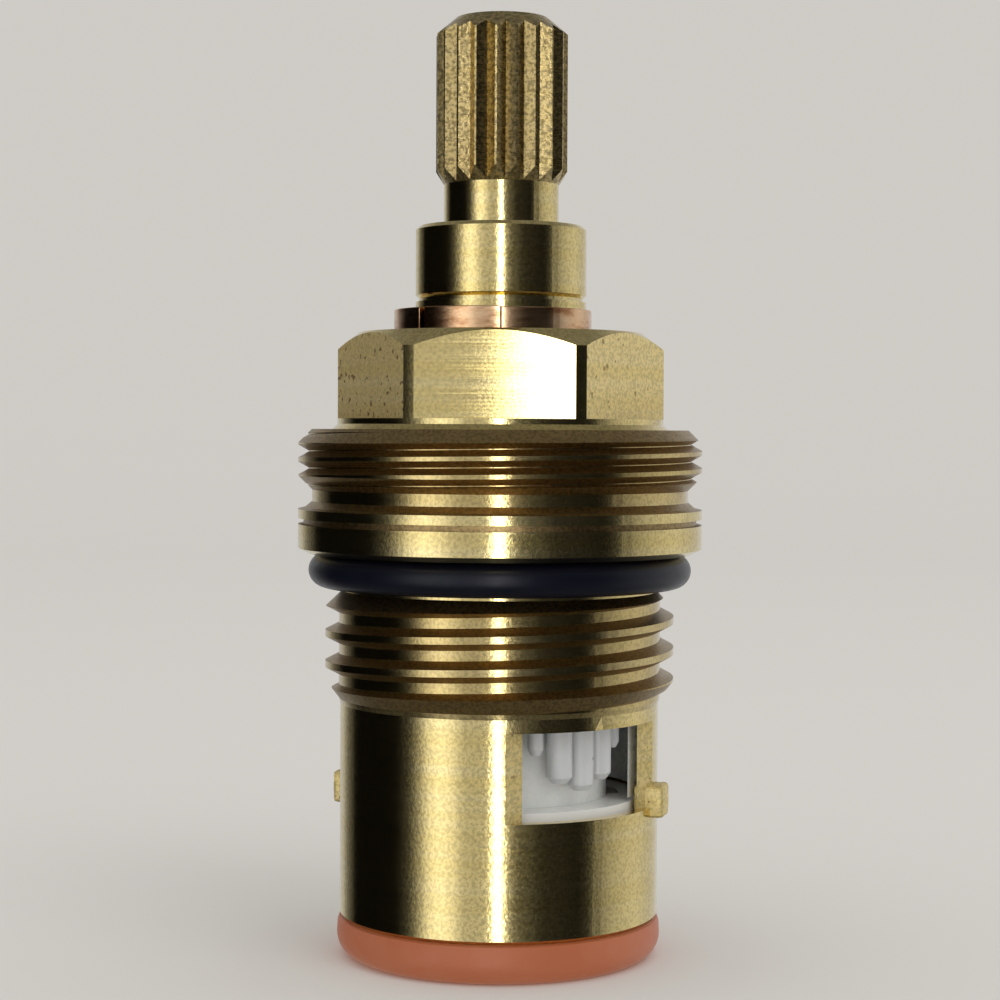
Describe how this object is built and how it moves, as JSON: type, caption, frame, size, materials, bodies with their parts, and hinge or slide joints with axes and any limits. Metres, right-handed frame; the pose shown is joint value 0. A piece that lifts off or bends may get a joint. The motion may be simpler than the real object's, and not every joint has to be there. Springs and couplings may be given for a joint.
{
  "type": "ceramic tap cartridge",
  "caption": "Quarter-turn ceramic disc tap cartridge: a threaded brass housing with side windows, a ring seal at its foot and a splined stem that turns.",
  "frame": {"origin": "centre of the ring seal's foot, on the stem's axis", "axes": "+Z along the stem towards the spline; the two windows face -Y and +Y; +X completes the frame"},
  "size_m": [0.0238, 0.0238, 0.0551],
  "materials": {
    "brass": "bright turned, with fine tool lines",
    "bronze": "satin, copper-brown",
    "black_rubber": "satin",
    "seal_silicone": "matte",
    "white_plastic": "semi-gloss",
    "clear_plastic": "translucent",
    "white_ceramic": "lapped"
  },
  "bodies": {
    "housing": {"housing": "brass", "flange_o_ring": "black_rubber", "bottom_seal": "seal_silicone", "seal_support_ring": "white_plastic", "fixed_disc": "white_ceramic", "silencer": "clear_plastic", "slip_washer": "white_plastic"},
    "stem": {"stem": "brass", "stem_o_ring_lower": "black_rubber", "stem_o_ring_upper": "black_rubber", "circlip": "bronze", "coupling": "white_plastic", "moving_disc": "white_ceramic"}
  },
  "joints": [
    {"name": "stem_turn", "type": "hinge", "parent": "housing", "child": "stem", "pos_m": [0, 0, 0.03], "axis": [0, 0, 1], "range_deg": [0, 90]}
  ]
}
